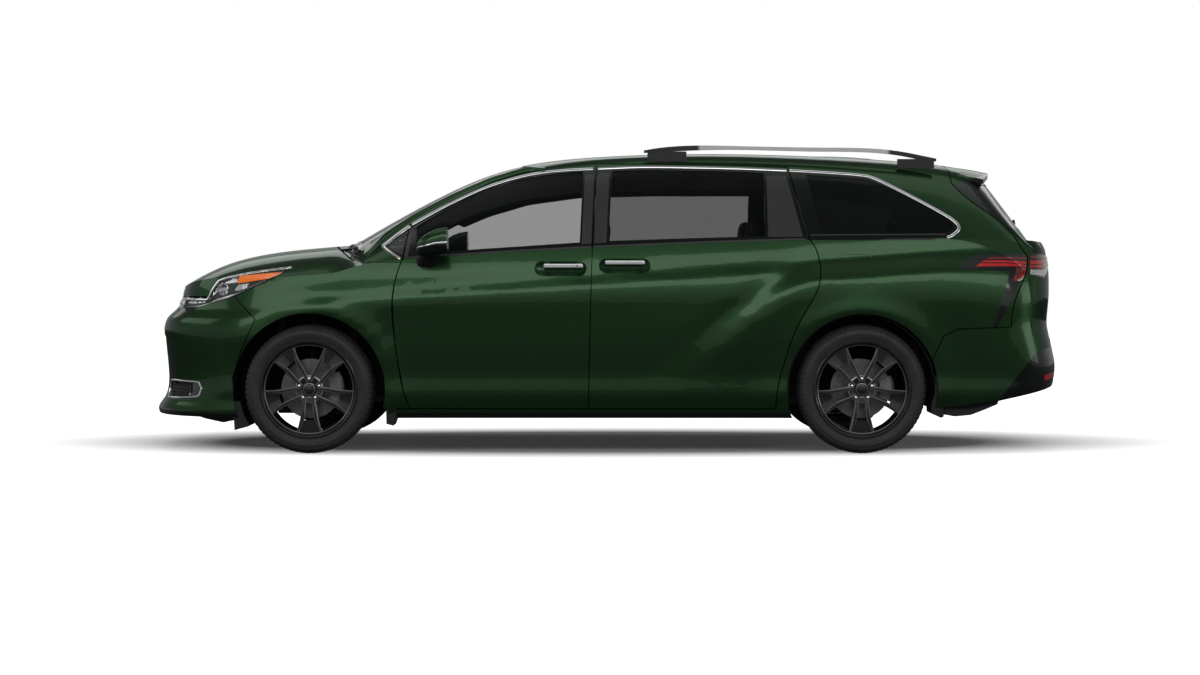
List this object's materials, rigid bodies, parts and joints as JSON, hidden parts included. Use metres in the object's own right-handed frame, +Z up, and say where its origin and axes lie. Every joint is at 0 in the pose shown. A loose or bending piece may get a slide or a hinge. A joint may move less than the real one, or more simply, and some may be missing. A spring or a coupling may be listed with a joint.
{
  "type": "minivan",
  "caption": "Family minivan with hinged front doors, sliding rear doors, hood, tailgate, steered front wheels and a trimmed cabin.",
  "frame": {"origin": "on the ground, under the middle of the length and width", "axes": "+X to the rear, +Y to the vehicle's right side, +Z up"},
  "size_m": [5.1709, 2.3362, 1.7176],
  "materials": {
    "body_paint": "gloss",
    "black_trim": "textured",
    "tinted_glass": "polished",
    "lamp_glass": "polished",
    "tail_glass": "polished",
    "bright_metal": "polished",
    "rail_metal": "satin",
    "tyre_rubber": "matte",
    "rim_metal": "satin",
    "chassis_metal": "matte",
    "engine_metal": "cast",
    "floor_metal": "matte",
    "cabin_plastic": "grained",
    "seat_leather": "grained",
    "mirror_paint": "gloss"
  },
  "bodies": {
    "root": {"floor_pan": "floor_metal", "bulkhead": "floor_metal", "cowl": "black_trim", "side_frame_left": "body_paint", "side_frame_right": "body_paint", "roof_panel": "body_paint", "fenders": "body_paint", "front_bumper": "body_paint", "rear_bumper": "body_paint", "upper_grille": "black_trim", "lower_grille": "black_trim", "headlamps": "lamp_glass", "tail_lamps": "tail_glass", "windscreen": "tinted_glass", "quarter_glass": "tinted_glass", "sliding_doors": "body_paint", "sliding_door_glass": "tinted_glass", "sliding_door_handles": "bright_metal", "roof_rails": "rail_metal", "front_wheel_liners": "black_trim", "rear_wheel_liners": "black_trim", "engine": "engine_metal", "front_subframe": "chassis_metal", "rear_axle": "chassis_metal", "dashboard": "cabin_plastic", "steering_wheel": "cabin_plastic", "front_seats": "seat_leather", "middle_seats": "seat_leather", "rear_seats": "seat_leather"},
    "front_door_left": {"door_left": "body_paint", "door_glass_left": "tinted_glass", "door_handle_left": "bright_metal", "mirror_left": "mirror_paint"},
    "front_door_right": {"door_right": "body_paint", "door_glass_right": "tinted_glass", "door_handle_right": "bright_metal", "mirror_right": "mirror_paint"},
    "hood_lid": {"hood": "body_paint"},
    "tailgate_lid": {"tailgate": "body_paint", "rear_glass": "tinted_glass"},
    "steer_left": {"knuckle_left": "chassis_metal"},
    "steer_right": {"knuckle_right": "chassis_metal"},
    "wheel_fl": {"tyre_fl": "tyre_rubber", "rim_fl": "rim_metal"},
    "wheel_fr": {"tyre_fr": "tyre_rubber", "rim_fr": "rim_metal"},
    "wheel_rl": {"tyre_rl": "tyre_rubber", "rim_rl": "rim_metal"},
    "wheel_rr": {"tyre_rr": "tyre_rubber", "rim_rr": "rim_metal"}
  },
  "joints": [
    {"name": "left_door_hinge", "type": "hinge", "parent": "root", "child": "front_door_left", "pos_m": [-1.252, -0.905, 0.8], "axis": [0, 0, -1], "range_deg": [0, 65]},
    {"name": "right_door_hinge", "type": "hinge", "parent": "root", "child": "front_door_right", "pos_m": [-1.252, 0.905, 0.8], "axis": [0, 0, 1], "range_deg": [0, 65]},
    {"name": "hood_hinge", "type": "hinge", "parent": "root", "child": "hood_lid", "pos_m": [-1.29, 0, 1.012], "axis": [0, 1, 0], "range_deg": [0, 50]},
    {"name": "tailgate_hinge", "type": "hinge", "parent": "root", "child": "tailgate_lid", "pos_m": [1.9, 0, 1.59], "axis": [0, -1, 0], "range_deg": [0, 85]},
    {"name": "left_steering", "type": "hinge", "parent": "root", "child": "steer_left", "pos_m": [-1.6275, -0.765, 0.232], "axis": [0, 0.2057, 0.9786], "range_deg": [-35, 35]},
    {"name": "right_steering", "type": "hinge", "parent": "root", "child": "steer_right", "pos_m": [-1.6275, 0.765, 0.232], "axis": [0, -0.2057, 0.9786], "range_deg": [-35, 35]},
    {"name": "spin_fl", "type": "hinge", "parent": "steer_left", "child": "wheel_fl", "pos_m": [-1.6275, -0.85, 0.357], "axis": [0, 1, 0], "continuous": true},
    {"name": "spin_fr", "type": "hinge", "parent": "steer_right", "child": "wheel_fr", "pos_m": [-1.6275, 0.85, 0.357], "axis": [0, 1, 0], "continuous": true},
    {"name": "spin_rl", "type": "hinge", "parent": "root", "child": "wheel_rl", "pos_m": [1.4325, -0.85, 0.357], "axis": [0, 1, 0], "continuous": true},
    {"name": "spin_rr", "type": "hinge", "parent": "root", "child": "wheel_rr", "pos_m": [1.4325, 0.85, 0.357], "axis": [0, 1, 0], "continuous": true}
  ],
  "couplings": [
    {"joint": "right_steering", "follows": "left_steering", "ratio": 1}
  ]
}
